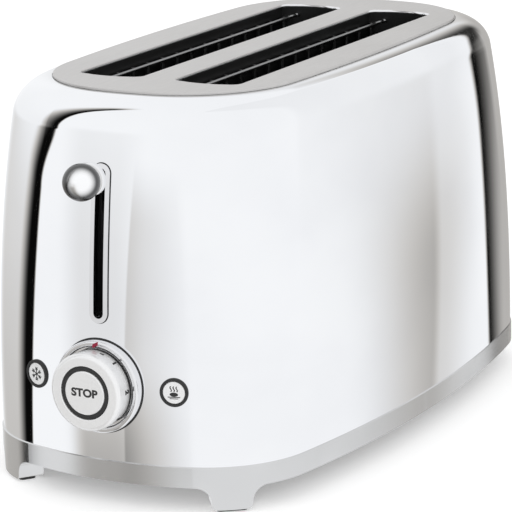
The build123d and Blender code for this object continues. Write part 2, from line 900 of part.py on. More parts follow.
def make_armature():
    half = armature_half_width
    front = carriage_front_y - armature_depth
    top = armature_bottom + armature_thickness
    return block(-half, half, front, carriage_front_y, armature_bottom, top)


# Chassis

def lifter_slot(side, y0, y1):
    """The upright slot that a lifter's bar runs in."""
    half = lifter_sheet / 2 + lifter_gap
    x = side * slot_center_x
    low = rest_low_z - lever_travel - 2
    return block(x - half, x + half, y0, y1, low, rest_low_z + lifter_height + 2)


def pivot_holes(y0, y1):
    """The holes that carry the bread guides' bottom rails."""
    bore = guide_rail_radius + pivot_gap
    holes = [rod_along_y(bore, x, guide_pivot_z, y0, y1) for x in guide_xs()]
    return Part() + holes


def guide_xs():
    """The bread guides' x, from the left wall of the left slot to the right wall of the right slot."""
    return [side * slot_center_x + offset * guide_open for side in (-1, 1) for offset in (-1, 1)]


def chassis_sheet(y0, y1):
    """An upright plate that narrows under the top panel."""
    wide, narrow = chassis_half_width, chassis_top_half_width
    plate = block(-wide, wide, y0, y1, base_plate_top, chassis_neck_z)
    return plate + block(-narrow, narrow, y0, y1, chassis_neck_z, shell_top)


def make_front_chassis_plate():
    y0, y1 = -chassis_y, -chassis_y + sheet
    half = chassis_half_width
    plate = chassis_sheet(y0, y1)
    plate += block(-half, half, y1, y1 + foot_flange, base_plate_top, base_plate_top + sheet)
    for side in (-1, 1):
        plate -= lifter_slot(side, y0 - 1, y1 + 1)
    return plate - pivot_holes(y0 - 1, y1 + 1)


def make_rear_chassis_plate():
    y0, y1 = chassis_y - sheet, chassis_y
    plate = chassis_sheet(y0, y1)
    foot_x = (chassis_half_width + tray_door_half_width) / 2
    foot_half = (chassis_half_width - tray_door_half_width) / 2
    for side in (-1, 1):
        plate -= lifter_slot(side, y0 - 1, y1 + 1)
        plate += block(side * foot_x - foot_half, side * foot_x + foot_half, y1, y1 + foot_flange,
                       base_plate_top, base_plate_top + sheet)
    door = tray_door_half_width
    plate -= block(-door, door, y0 - 1, y1 + 1, base_plate_top, band_top + 2)
    return plate - pivot_holes(y0 - 1, y1 + 1)


def well_half_length():
    return chassis_y - sheet


def make_reflector(side):
    half = well_half_length()
    inner, outer = side * reflector_x, side * (reflector_x + reflector_sheet)
    return block(min(inner, outer), max(inner, outer), -half, half, well_bottom, lip_bottom)


def make_center_divider():
    half = well_half_length()
    return block(-divider_sheet / 2, divider_sheet / 2, -half, half, well_bottom, lip_bottom)


def mica_planes(side):
    """Each board's slot-facing plane and the way it faces, for one bread slot."""
    center = side * slot_center_x
    return [(center - mica_offset, 1), (center + mica_offset, -1)]


def make_mica_boards(side):
    half = well_half_length()
    boards = []
    for x, facing in mica_planes(side):
        back = x - facing * mica_thickness
        boards.append(block(min(x, back), max(x, back), -half, half, mica_bottom, mica_top))
    return group(boards)


def make_winding(x, facing):
    """One unbroken ribbon that runs to and fro along a board."""
    low, high = (x, x + ribbon_thickness) if facing > 0 else (x - ribbon_thickness, x)
    pitch = (ribbon_top - ribbon_bottom) / (ribbon_runs - 1)
    end = ribbon_half_length
    tall = ribbon_height / 2
    runs = []
    for index in range(ribbon_runs):
        z = ribbon_bottom + index * pitch
        runs.append(block(low, high, -end, end, z - tall, z + tall))
        if index < ribbon_runs - 1:
            y = end if index % 2 == 0 else -end + ribbon_height
            runs.append(block(low, high, y - ribbon_height, y, z, z + pitch))
    return runs[0] + runs[1:]


def make_heater_windings(side):
    windings = [make_winding(x, facing) for x, facing in mica_planes(side)]
    return group(windings)


def make_bread_guide(x, facing):
    """A welded wire guide on its bottom rail, and the crank pressed on the rail's end."""
    rail_low, rail_high = -chassis_y - guide_rail_front, chassis_y + guide_rail_back
    wire_x = x - facing * guide_weld_offset
    half_span = guide_wire_span / 2
    guide = rod_along_y(guide_rail_radius, x, guide_pivot_z, rail_low, rail_high)
    rails = []
    for z in (guide_pivot_z + (guide_top_z - guide_pivot_z) * 0.5, guide_top_z):
        rails.append(rod_along_y(guide_wire_radius, x, z, -half_span - 3, half_span + 3))
    wires = []
    for index in range(guide_wires):
        y = -half_span + index * guide_wire_span / (guide_wires - 1)
        wires.append(rod_along_z(guide_wire_radius, wire_x, y, guide_pivot_z, guide_top_z + 1))
    guide = guide + rails + wires
    bore = guide_rail_radius + press_gap
    crank_back = rail_low + crank_thickness
    crank = rod_along_y(crank_eye_radius, x, guide_pivot_z, rail_low, crank_back)
    crank_x = x + facing * crank_length
    crank += block(min(x, crank_x), max(x, crank_x), rail_low, crank_back,
                   guide_pivot_z - crank_width / 2, guide_pivot_z + crank_width / 2)
    crank -= rod_along_y(bore, x, guide_pivot_z, rail_low - 1, crank_back + 1)
    return group([guide, crank])


# Magnet, contacts and rear parts

def magnet_top():
    return armature_bottom - lever_travel - magnet_gap


def magnet_center_y():
    return carriage_front_y - armature_depth / 2


def make_magnet_yoke():
    y = magnet_center_y()
    half = armature_half_width
    depth = armature_depth / 2
    top = magnet_top()
    yoke = block(-half, half, y - depth, y + depth, base_plate_top, base_plate_top + 3)
    yoke += block(-half, -half + 2, y - depth, y + depth, base_plate_top, top)
    yoke += rod_along_z(core_radius, 1.0, y, base_plate_top, top)
    return yoke


def make_magnet_coil():
    y = magnet_center_y()
    low = base_plate_top + 3
    coil = rod_along_z(core_radius + coil_wall, 1.0, y, low, low + coil_height)
    return coil - rod_along_z(core_radius, 1.0, y, low - 1, low + coil_height + 1)


def make_contact_block():
    low = bush_bottom - lever_travel - 2
    body = block(contact_x - 8, contact_x + 8, rod_y - 12, rod_y + 3, base_plate_top, low - 6)
    return fillet(body.edges().filter_by(Axis.Z), 1.5)


def make_contact_leaves():
    low = bush_bottom - lever_travel - 8
    high = low + 6.5
    leaves = []
    for y in (rod_y - 9, rod_y - 3):
        leaf = block(contact_x - 5, contact_x - 5 + contact_leaf, y - 2, y + 2, low, high)
        leaf += block(contact_x - 5, contact_x + 4, y - 2, y + 2, high - contact_leaf, high)
        leaves.append(leaf)
    return group(leaves)


def make_terminal_block():
    width, depth, height = terminal_size
    low = base_plate_top
    body = block(terminal_x - width / 2, terminal_x + width / 2, terminal_y - depth / 2,
                 terminal_y + depth / 2, low, low + height)
    for index in range(3):
        x = terminal_x + (index - 1) * terminal_pitch
        body -= rod_along_z(1.8, x, terminal_y, low + height - 4, low + height + 1)
    return body


def make_cord_gland():
    outside = body_half_length
    shell_y = outside - gland_flange
    back = shell_y - gland_length + gland_flange
    flange = rod_along_y(gland_flange_radius, 0, gland_z, shell_y - 2.0, outside)
    flange -= shell_solid()
    neck = rod_along_y(gland_radius, 0, gland_z, back, outside)
    gland = flange + neck
    return gland - rod_along_y(gland_bore, 0, gland_z, back - 1, outside + 1)


def lead_tube(points, bend):
    path = FilletPolyline(*points, radius=bend)
    return sweep(Plane(origin=path @ 0, z_dir=path % 0) * Circle(lead_radius), path=path)


def make_internal_leads():
    """Two insulated leads from the terminal block to the rear chassis plate, behind the mica boards' ends."""
    front_y = terminal_y - terminal_size[1] / 2
    low = base_plate_top + 6
    leads = []
    for start_x, back_y, end_x, end_z in (
        (terminal_x + terminal_pitch, front_y - lead_first_run, -slot_center_x - mica_offset, 70.0),
        (terminal_x - terminal_pitch, front_y - lead_second_run, -slot_center_x + mica_offset, 90.0),
    ):
        route = [(start_x, front_y, low), (start_x, back_y, low), (start_x, back_y, end_z)]
        route += [(end_x, back_y, end_z), (end_x, chassis_y, end_z)]
        leads.append(lead_tube(route, lead_bend))
    return group(leads)


def screw(x, y, z):
    """A pan-head screw whose head seats at z and whose shank points down."""
    head = rod_along_z(screw_head_radius, x, y, z, z + screw_head_height)
    return head + rod_along_z(screw_radius, x, y, z - screw_length, z)


def make_base_screws():
    screws = [screw(x, y, base_plate_top) for x, y in base_screw_places()]
    return group(screws)


# Crumb tray

def tray_bottom():
    return base_plate_top + rail_wall + tray_clearance


def make_tray_rails():
    rails = []
    wall_in = tray_half_width + tray_clearance
    lip_z = tray_wall_top + rail_lip_gap
    for side in (-1, 1):
        def span(low, high):
            return (low, high) if side > 0 else (-high, -low)
        x0, x1 = span(wall_in, wall_in + rail_wall)
        rail = block(x0, x1, tray_front_y, rail_end_y, base_plate_top, lip_z + rail_wall)
        x0, x1 = span(wall_in - rail_lip_reach, wall_in + rail_wall)
        rail += block(x0, x1, tray_front_y, rail_end_y, base_plate_top, base_plate_top + rail_wall)
        rail += block(x0, x1, tray_front_y, rail_end_y, lip_z, lip_z + rail_wall)
        rails.append(rail)
    return group(rails)


def make_crumb_tray():
    low = tray_bottom()
    half = tray_half_width
    pan = block(-half, half, tray_front_y, body_half_length, low, tray_wall_top)
    pan -= block(-half + tray_sheet, half - tray_sheet, tray_front_y + tray_sheet, body_half_length + 1,
                 low + tray_sheet, tray_wall_top + 1)
    outer = tray_face_gap
    inner = tray_face_gap + tray_face_thickness
    pan &= base_prism(0, band_top + 5, inner - 0.2)
    face = base_prism(0, band_top + 5, outer) - base_prism(0, band_top + 5, inner)
    door = tray_door_half_width - tray_face_gap
    behind = body_half_length + 1
    middle = body_half_length / 2
    plate = face & block(-door, door, middle, behind, base_plate_top + 0.3, band_top - 0.3)
    plate += face & block(-pull_half_width, pull_half_width, middle, behind, pull_bottom, band_top - 1)
    return pan + plate


def all_pieces():
    """Every node and the shape that goes in it."""
    pieces = {
        **shell_walls(),
        "top_panel": make_top_panel(),
        "base_rim": make_base_rim(),
        "base_plate": make_base_plate(),
        "foot_pads": make_foot_pads(),
        "lever_slot_bezel": make_lever_slot_bezel(),
        "lever_guide": make_lever_guide(),
        "knob_bezel": make_knob_bezel(),
        "stop_guide": make_stop_guide(),
        "stop_ring": make_stop_ring(),
        "stop_button": make_stop_button(),
        "stop_switch": make_stop_switch(),
        "browning_knob": make_browning_knob(),
        "selector_rotor": make_selector_rotor(),
        "selector_sensor": make_selector_sensor(),
        "control_bracket": make_control_bracket(),
        "control_board": make_control_board(),
        "relay": make_relay(),
        "guide_rods": make_guide_rods(),
        "top_bracket": make_top_bracket(),
        "carriage_plate": make_carriage_plate(),
        "lever_arm": make_lever_arm(),
        "lever_collar": make_lever_collar(),
        "lever_ball": make_lever_ball(),
        "armature": make_armature(),
        "return_springs": make_return_springs(),
        "front_chassis_plate": make_front_chassis_plate(),
        "rear_chassis_plate": make_rear_chassis_plate(),
        "center_divider": make_center_divider(),
        "magnet_yoke": make_magnet_yoke(),
        "magnet_coil": make_magnet_coil(),
        "contact_block": make_contact_block(),
        "contact_leaves": make_contact_leaves(),
        "terminal_block": make_terminal_block(),
        "internal_leads": make_internal_leads(),
        "cord_gland": make_cord_gland(),
        "base_screws": make_base_screws(),
        "tray_rails": make_tray_rails(),
        "crumb_tray": make_crumb_tray(),
    }
    for side, name in ((-1, "defrost"), (1, "reheat")):
        pieces[f"{name}_ring"] = make_button_ring(side)
        pieces[f"{name}_button"] = make_side_button(side)
        pieces[f"{name}_switch"] = make_side_switch(side)
    for side, name in ((-1, "left"), (1, "right")):
        pieces[f"{name}_reflector"] = make_reflector(side)
        pieces[f"{name}_mica_boards"] = make_mica_boards(side)
        pieces[f"{name}_heater_windings"] = make_heater_windings(side)
        pieces[f"{name}_bread_lifter"] = make_bread_lifter(side)
    places = ("left_outer", "left_inner", "right_inner", "right_outer")
    for x, place, facing in zip(guide_xs(), places, (1, -1, 1, -1)):
        pieces[f"{place}_bread_guide"] = make_bread_guide(x, facing)
    return pieces


os.makedirs("parts", exist_ok=True)
for node, shape in all_pieces().items():
    export_step(Pos(0, y_shift, 0) * shape, f"parts/{node}.step")
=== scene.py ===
import json
import math
import bmesh
import bpy
from mathutils import Matrix, Vector


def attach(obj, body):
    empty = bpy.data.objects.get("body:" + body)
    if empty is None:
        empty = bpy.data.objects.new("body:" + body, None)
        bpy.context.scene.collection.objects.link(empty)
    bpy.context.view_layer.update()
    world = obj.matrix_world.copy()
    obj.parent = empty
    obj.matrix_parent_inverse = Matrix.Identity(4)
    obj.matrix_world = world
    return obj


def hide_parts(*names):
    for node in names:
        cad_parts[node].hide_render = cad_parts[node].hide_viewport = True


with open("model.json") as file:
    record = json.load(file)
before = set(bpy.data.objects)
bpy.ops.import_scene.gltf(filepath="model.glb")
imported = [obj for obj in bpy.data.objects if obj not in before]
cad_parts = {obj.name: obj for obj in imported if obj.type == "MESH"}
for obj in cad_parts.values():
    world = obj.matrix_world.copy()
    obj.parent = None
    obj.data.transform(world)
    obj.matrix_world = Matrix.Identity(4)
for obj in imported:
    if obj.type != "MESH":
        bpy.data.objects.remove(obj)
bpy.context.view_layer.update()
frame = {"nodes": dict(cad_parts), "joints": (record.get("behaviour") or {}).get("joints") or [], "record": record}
MM = 0.001

# Camera: the photograph's angle, as a long lens sees the object
camera_turn = 0.50349
camera_rise = 0.25043
camera_roll = -0.02368
camera_distance = 1.65687
camera_target = Vector((-0.00521, 0.00494, 0.09144))
sensor_width = 36.0
focal_in_frames = 2884.67 / 512

# The body's outline and profile, in millimetres, as the CAD draws them about the middle of the body
row_shift = 9.5
body_half_length, body_half_width, body_height = 187.5, 103.5, 216.0
base_arcs = (176.0, 770.0, 59.0)
top_arcs = (182.0, 1485.0, 60.5)
band_top, shell_top = 25.0, 214.5
shell_step = 0.6
end_lean, lean_power = 16.4, 2.18
shoulder_radius, side_share = 17.0, 0.886

# Bread slots and the guides inside them
slot_center_x, slot_half_width, slot_half_length = 29.5, 19.5, 121.5
slot_end_bow, slot_corner_radius = 3.0, 5.5
lip_bottom, lip_round = 203.0, 1.3
guide_open, guide_top_z, guide_half_span = 16.2, 208.0, 113.5

# Controls on the front
control_z, button_x = 65.0, 41.9
dial_bezel_radius, dial_skirt_radius = 25.0, 20.5
slot_middle_z, slot_bezel_half_width, slot_bezel_half_height = 140.2, 5.4, 41.7
forward = Vector((0, -1, 0))

# How fine the shell's grid is, and how near two points have to be to count as one, in metres
end_steps, corner_steps, side_steps = 56, 28, 24
quarter_steps = end_steps + corner_steps + side_steps
wall_rows, round_rows = 150, 24
same_point, same_ink_point = 1e-6, 1e-7


# Shader expressions
class Term:
    """A socket in a node tree. Arithmetic on it adds Math nodes."""

    def __init__(self, maker, socket):
        self.maker = maker
        self.socket = socket

    def _math(self, operation, first, second):
        return self.maker.node("ShaderNodeMath", {"operation": operation}, {0: first, 1: second})

    def __add__(self, other):
        return self._math("ADD", self, other)

    __radd__ = __add__

    def __sub__(self, other):
        return self._math("SUBTRACT", self, other)

    def __rsub__(self, other):
        return self._math("SUBTRACT", other, self)

    def __mul__(self, other):
        return self._math("MULTIPLY", self, other)

    __rmul__ = __mul__

    def __truediv__(self, other):
        return self._math("DIVIDE", self, other)

    def __pow__(self, other):
        return self._math("POWER", self, other)

    def over(self, level):
        """How far it lies above a level, or 0."""
        return self._math("MAXIMUM", self - level, 0.0)

    def under(self, level):
        """How far it lies below a level, or 0."""
        return self._math("MAXIMUM", level - self, 0.0)

    def at_most(self, level):
        return self._math("MINIMUM", self, level)

    def step(self, low, high):
        """0 below low, 1 above high, smooth between."""
        return self.maker.node(
            "ShaderNodeMapRange",
            {"interpolation_type": "SMOOTHSTEP"},
            {"Value": self, "From Min": low, "From Max": high},
        )

    def fade(self, low, high):
        """1 below low, 0 above high, smooth between."""
        return 1 - self.step(low, high)


class Maker:
    """Adds nodes to one tree."""

    def __init__(self, tree):
        self.tree = tree
        tree.nodes.clear()

    def node(self, kind, settings=None, sockets=None, output=0):
        made = self.tree.nodes.new(kind)
        for name, value in (settings or {}).items():
            setattr(made, name, value)
        for name, value in (sockets or {}).items():
            if isinstance(value, Term):
                self.tree.links.new(value.socket, made.inputs[name])
            else:
                made.inputs[name].default_value = value
        return Term(self, made.outputs[output]) if made.outputs else made

    def mix(self, factor, first, second):
        return self.node(
            "ShaderNodeMix", {"data_type": "RGBA"}, {0: factor, 6: first, 7: second}, output=2
        )

    def place(self, stretch=(1, 1, 1)):
        """Object coordinates, stretched."""
        point = self.node("ShaderNodeTexCoord", output=3)
        return self.node("ShaderNodeMapping", {}, {"Vector": point, "Scale": stretch})

    def noise(self, place, scale, detail):
        sockets = {"Vector": place, "Scale": scale, "Detail": detail}
        return self.node("ShaderNodeTexNoise", {}, sockets)

    def bump(self, height, strength, distance):
        sockets = {"Height": height, "Strength": strength, "Distance": distance}
        return self.node("ShaderNodeBump", {}, sockets)

    def camera_ray(self):
        """1 for what the camera sees itself, 0 for what is mirrored or lit."""
        return self.node("ShaderNodeLightPath", output=0)

    def mirror_ray(self):
        """1 for what a glossy surface mirrors."""
        return self.node("ShaderNodeLightPath", output=3)


def grey(value, warmth=0.0):
    return (value * (1 + warmth), value, value * (1 - warmth), 1.0)


# Materials
def material(name):
    made = bpy.data.materials.new(name)
    made.use_nodes = True
    return made, Maker(made.node_tree)


def surface(maker, sockets):
    shader = maker.node("ShaderNodeBsdfPrincipled", {}, sockets)
    maker.node("ShaderNodeOutputMaterial", {}, {"Surface": shader})


def polished(name, light, dark, roughness, wipe=0.02):
    """Mirror plating, with faint cloth wipes and a trace of haze."""
    made, maker = material(name)
    haze = maker.noise(maker.place((6, 6, 9)), 1.6, 3)
    wipes = maker.noise(maker.place((60, 60, 9)), 3.0, 4)
    rough = haze.step(0.42, 0.75) * wipe + wipes.step(0.5, 0.8) * wipe + roughness
    surface(maker, {
        "Base Color": maker.mix(haze.step(0.35, 0.7), light, dark),
        "Metallic": 1.0,
        "Roughness": rough,
    })
    return made


def satin(name, light, dark, roughness, stretch=(1, 1, 1), grain=2200.0, metal=1.0):
    """Blasted or brushed metal: fine grain in the bump, and cloudy roughness."""
    made, maker = material(name)
    grain_depth = 0.000012
    fine = maker.noise(maker.place(stretch), grain, 2)
    cloud = maker.noise(maker.place(), 14.0, 3)
    shade = fine * 0.55 + cloud * 0.45
    surface(maker, {
        "Base Color": maker.mix(shade.step(0.3, 0.7), dark, light),
        "Metallic": metal,
        "Roughness": cloud * 0.12 + fine * 0.06 + roughness,
        "Normal": maker.bump(fine, 0.35, grain_depth),
    })
    return made


def moulded(name, light, dark, roughness, grain=900.0, depth=0.00002):
    """Moulded plastic, rubber or paint: a fine spark texture and slightly uneven gloss."""
    made, maker = material(name)
    fine = maker.noise(maker.place(), grain, 2)
    cloud = maker.noise(maker.place(), 25.0, 2)
    surface(maker, {
        "Base Color": maker.mix((fine * 0.5 + cloud * 0.5).step(0.3, 0.7), dark, light),
        "Roughness": cloud * 0.14 + roughness,
        "Normal": maker.bump(fine, 0.4, depth),
    })
    return made


def ball_painted_reflection(name):
    """Satin plating whose base colour is a painted reflection: bright in the middle and dark at the rim, as a ball
    under a soft box would mirror.
    """
    made, maker = material(name)
    painted_rim_shade = maker.node("ShaderNodeLayerWeight", {}, {"Blend": 0.5}, output=1)
    cloud = maker.noise(maker.place(), 40.0, 2)
    surface(maker, {
        # Painted reflection and shade: bright where the ball faces the eye, dark towards its rim
        "Base Color": maker.mix(painted_rim_shade.step(0.06, 0.42), grey(1.0), grey(0.11)),
        "Metallic": 1.0,
        "Roughness": cloud * 0.06 + 0.2,
    })
    return made


def layered(name, light, dark, roughness):
    """Mica board: pearly flakes and thin sheets."""
    made, maker = material(name)
    flakes = maker.node("ShaderNodeTexVoronoi", {}, {"Vector": maker.place(), "Scale": 260.0})
    cloud = maker.noise(maker.place((30, 30, 30)), 3.0, 4)
    surface(maker, {
        "Base Color": maker.mix((flakes * 0.5 + cloud).step(0.3, 0.9), dark, light),
        "Roughness": flakes * 0.3 + roughness,
        "Coat Weight": 0.4,
        "Normal": maker.bump(flakes, 0.3, 0.00003),
    })
    return made


def circuit(name, light, dark):
    """Solder mask with tracks under it."""
    made, maker = material(name)
    tracks = maker.node(
        "ShaderNodeTexWave",
        {"wave_type": "BANDS", "bands_direction": "DIAGONAL"},
        {"Vector": maker.place(), "Scale": 130.0, "Distortion": 6.0, "Detail": 1.0},
        output=1,
    )
    line = tracks.step(0.72, 0.8)
    surface(maker, {
        "Base Color": maker.mix(line, dark, light),
        "Roughness": 0.32,
        "Normal": maker.bump(line, 0.4, 0.00004),
    })
    return made


brushed_along = (1, 0.05, 1)
brushed_up = (1, 1, 0.1)
drawn_wire = (1, 0.2, 1)
wound_wire = (1, 1, 12)
finishes = {
    "shell_chrome": polished("shell_plating", (0.93, 0.935, 0.945, 1), (0.89, 0.895, 0.91, 1), 0.02),
    "trim_chrome": polished("trim_plating", (0.86, 0.86, 0.87, 1), (0.80, 0.80, 0.81, 1), 0.07),
    "band_chrome": polished("band_plating", grey(0.70), grey(0.64), 0.16, wipe=0.05),
    "panel_satin": satin(
        "brushed_panel", grey(0.65, 0.02), grey(0.59, 0.022), 0.34, brushed_along, grain=1600.0
    ),
    "knob_satin": satin("knob_satin", grey(0.90), grey(0.86), 0.24, metal=0.55),
    "ball_satin": ball_painted_reflection("ball_satin"),
    "dark_ring": moulded("dark_ring", grey(0.022), grey(0.012), 0.5),
    "black_plastic": moulded("black_plastic", grey(0.016), grey(0.008), 0.42),
    "sheet_steel": satin("sheet_steel", grey(0.5), grey(0.38), 0.34, brushed_up, grain=900.0),
    "dark_sheet": satin("blackened_steel", (0.045, 0.05, 0.05, 1), (0.018, 0.021, 0.021, 1), 0.3),
    "wire_steel": satin("wire_steel", grey(0.36), grey(0.27), 0.2, drawn_wire, grain=1500.0),
    # Painted shade: mica and heating ribbon are darkened far below their own colour, for the darkness inside the
    # slots
    "mica": layered("mica_board_painted_shade", (0.06, 0.055, 0.045, 1), (0.03, 0.027, 0.022, 1), 0.35),
    "ribbon": satin("heating_ribbon_painted_shade", (0.11, 0.1, 0.09, 1), (0.05, 0.045, 0.04, 1), 0.4),
    "rubber": moulded("foot_rubber", grey(0.03), grey(0.014), 0.62, grain=500.0, depth=0.00005),
    "board_green": circuit("circuit_board", (0.05, 0.2, 0.09, 1), (0.015, 0.09, 0.04, 1)),
    "switch_black": moulded("switch_body", grey(0.03), grey(0.015), 0.4),
    "copper": satin(
        "copper_wire", (0.75, 0.36, 0.2, 1), (0.5, 0.2, 0.1, 1), 0.3, wound_wire, grain=300.0
    ),
    "contact_brass": satin("contact_brass", (0.75, 0.57, 0.27, 1), (0.55, 0.4, 0.17, 1), 0.28),
    "terminal_cream": moulded("terminal_cream", (0.72, 0.68, 0.55, 1), (0.6, 0.55, 0.42, 1), 0.4),
    "lead_insulation": moulded("lead_insulation", (0.55, 0.55, 0.52, 1), (0.4, 0.4, 0.38, 1), 0.45),
}
slot_of = {part["node"]: part["material_slot"] for part in frame["record"]["subparts"]}
for name, piece in frame["nodes"].items():
    piece.data.materials.clear()
    piece.data.materials.append(finishes[slot_of[name]])
for name in ("lever_ball", "lever_collar", "lever_arm"):
    frame["nodes"][name].visible_glossy = False

paint_grain, paint_depth = 1500.0, 0.000004
# Painted shade: near black for the darkness deep inside the bread slots
painted_slot_shade = moulded("painted_slot_shade", grey(0.004), grey(0.002), 0.3)
ink = moulded("printed_black", grey(0.02), grey(0.012), 0.45, paint_grain, paint_depth)
red_paint = moulded(
    "red_paint", (0.30, 0.006, 0.035, 1), (0.24, 0.004, 0.028, 1), 0.35, paint_grain, paint_depth
)


# Making a piece
def about_body(x, y, z):
    """A point given in millimetres about the middle of the body, in metres in the row's frame."""
    return Vector((x, y + row_shift, z)) * MM


def band_of_quads(columns, rows, place):
    """A closed band whose points place(column, row) gives, in millimetres about the body's middle."""
    shape = bmesh.new()
    made = bmesh.ops.create_grid(shape, x_segments=columns, y_segments=rows, size=0.5)
    for vertex in made["verts"]:
        column = round((vertex.co.x + 0.5) * columns)
        row = round((vertex.co.y + 0.5) * rows)
        vertex.co = about_body(*place(column, row))
    bmesh.ops.remove_doubles(shape, verts=shape.verts, dist=same_point)
    return shape


def smooth(shape):
    for face in shape.faces:
        face.smooth = True


def linked(name, shape, finish):
    """An object made from a bmesh, in the scene."""
    mesh = bpy.data.meshes.new(name)
    shape.to_mesh(mesh)
    shape.free()
    mesh.materials.append(finish)
    made = bpy.data.objects.new(name, mesh)
    bpy.context.scene.collection.objects.link(made)
    return made


def new_piece(name, shape, finish, body):
    """A finished piece from a bmesh that is already in its place, in metres."""
    bmesh.ops.remove_doubles(shape, verts=shape.verts, dist=same_ink_point)
    bmesh.ops.recalc_face_normals(shape, faces=shape.faces)
    piece = linked(name, shape, finish)
    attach(piece, body)


def facing(origin, outward):
    """Puts the plane z = 0 on a surface, x to the right as seen from outside, and y up."""
    out = Vector(outward).normalized()
    across = Vector((0, 0, 1)).cross(out).normalized()
    basis = Matrix((across, out.cross(across), out)).transposed().to_4x4()
    return Matrix.Translation(origin) @ basis


def front_of(node, outward):
    """The middle of a CAD node's outermost face along a direction."""
    face_depth = 0.00002
    out = Vector(outward).normalized()
    points = [v.co.copy() for v in frame["nodes"][node].data.vertices]
    reach = max(p.dot(out) for p in points)
    face = [p for p in points if p.dot(out) > reach - face_depth]
    low = Vector([min(p[i] for p in face) for i in range(3)])
    high = Vector([max(p[i] for p in face) for i in range(3)])
    return (low + high) / 2


def joint_axis(name):
    found = [joint for joint in frame["joints"] if joint["name"] == name]
    return Vector(found[0]["axis"])


# Shell
def outline_knots(half_length, half_width, end_radius, side_radius, corner_radius):
    """Where the arcs of the outline's first quadrant meet: the corner arc's centre and two angles."""
    end_center = Vector((0.0, half_length - end_radius))
    side_center = Vector((half_width - side_radius, 0.0))
    from_end, from_side = end_radius - corner_radius, side_radius - corner_radius
    apart = (side_center - end_center).length
    along = (apart ** 2 + from_end ** 2 - from_side ** 2) / (2 * apart)
    across = math.sqrt(from_end ** 2 - along ** 2)
    way = (side_center - end_center) / apart
    center = end_center + way * along + Vector((way.y, -way.x)) * across
    end_angle = math.atan2(center.y - end_center.y, center.x - end_center.x)
    side_angle = math.atan2(center.y - side_center.y, center.x - side_center.x)
    return center, end_angle, side_angle


def quarter_point(step, sizes, knots):
    """A point of the outline's first quadrant, from the middle of the end to the middle of the side."""
    half_length, half_width, end_radius, side_radius, corner_radius = sizes
    center, end_angle, side_angle = knots
    if step <= end_steps:
        angle = math.pi / 2 + (end_angle - math.pi / 2) * step / end_steps
        middle, radius = Vector((0, half_length - end_radius)), end_radius
    elif step <= end_steps + corner_steps:
        angle = end_angle + (side_angle - end_angle) * (step - end_steps) / corner_steps
        middle, radius = center, corner_radius
    else:
        angle = side_angle * (quarter_steps - step) / side_steps
        middle, radius = Vector((half_width - side_radius, 0)), side_radius
    return middle + radius * Vector((math.cos(angle), math.sin(angle)))


def outline_point(column, sizes, knots):
    """A point of the whole outline, counter-clockwise from the middle of the front."""
    quarter, step = divmod(column % (4 * quarter_steps), quarter_steps)
    if quarter in (1, 3):
        step = quarter_steps - step
    point = quarter_point(step, sizes, knots)
    sign_x = 1 if quarter in (0, 1) else -1
    sign_y = 1 if quarter in (1, 2) else -1
    return point.x * sign_x, point.y * sign_y


def shell_sizes(z):
    """The outline's half length, half width and arc radii at a height."""
    share = max((z - band_top) / (shell_top - band_top), 0.0)
    inset = end_lean * share ** lean_power
    above = z - (shell_top - shoulder_radius)
    if above > 0:
        inset += shoulder_radius - math.sqrt(max(shoulder_radius ** 2 - above ** 2, 0.0))
    grown = inset / (end_lean + shoulder_radius)
    arcs = [low + (high - low) * grown for low, high in zip(base_arcs, top_arcs)]
    half_length = body_half_length - shell_step - inset
    half_width = body_half_width - shell_step - inset * side_share
    return (half_length, half_width, *arcs)


def sections_at(heights):
    return [(sizes, outline_knots(*sizes)) for sizes in map(shell_sizes, heights)]


def front_y(x, z):
    """The shell's front face beside the middle, in millimetres about the body's middle."""
    half_length, _, end_radius, _, _ = shell_sizes(z)
    return -(half_length - end_radius + math.sqrt(end_radius ** 2 - x ** 2))


# Each opening is a little smaller than what covers its edge: x, z, half width, half height
button_opening = 6.95
shell_openings = (
    (0.0, slot_middle_z, 4.1, 40.0),
    (0.0, control_z, 15.0, 15.0),
    (button_x, control_z, button_opening, button_opening),
    (-button_x, control_z, button_opening, button_opening),
)
gland_opening = (0.0, 42.0, 5.5, 5.5)


def in_opening(x, z, opening):
    """Round openings are as wide as high; the lever's slot has straight sides."""
    middle_x, middle_z, half_x, half_z = opening
    if half_x == half_z:
        return math.hypot(x - middle_x, z - middle_z) < half_x
    return abs(x - middle_x) < half_x and abs(z - middle_z) < half_z


def polished_shell():
    """The body's wall, lofted through its outlines, so that the plating mirrors cleanly."""
    shoulder = shell_top - shoulder_radius
    heights = [band_top + (shoulder - band_top) * row / wall_rows for row in range(wall_rows)]
    for row in range(round_rows + 1):
        heights.append(shoulder + shoulder_radius * math.sin(math.pi / 2 * row / round_rows))
    sections = sections_at(heights)
    shape = band_of_quads(
        4 * quarter_steps, len(heights) - 1,
        lambda column, row: (*outline_point(column, *sections[row]), heights[row]),
    )
    doomed = []
    for face in shape.faces:
        middle = face.calc_center_median() / MM
        openings = shell_openings if middle.y < row_shift else (gland_opening,)
        if any(in_opening(middle.x, middle.z, opening) for opening in openings):
            doomed.append(face)
    bmesh.ops.delete(shape, geom=doomed, context="FACES")
    smooth(shape)
    piece = linked("polished_shell", shape, finishes["shell_chrome"])
    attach(piece, "root")
    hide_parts(*(f"shell_{wall}_wall" for wall in ("front", "rear", "left", "right")))


polished_shell()


# Painted shadow: thin black strips on the shell where trim meets it, standing in for the shade in the gaps
shadow_line_thickness, shadow_line_proud = 0.04, 0.05
shadow_line_tuck = 0.1


def circle_path(middle_z, radius, steps=96):
    """Points round a circle in the middle of the front, each with its outward direction."""
    turns = [2 * math.pi * step / steps for step in range(steps)]
    ways = [(math.cos(turn), math.sin(turn)) for turn in turns]
    return [(radius * out_x, middle_z + radius * out_z, out_x, out_z) for out_x, out_z in ways]


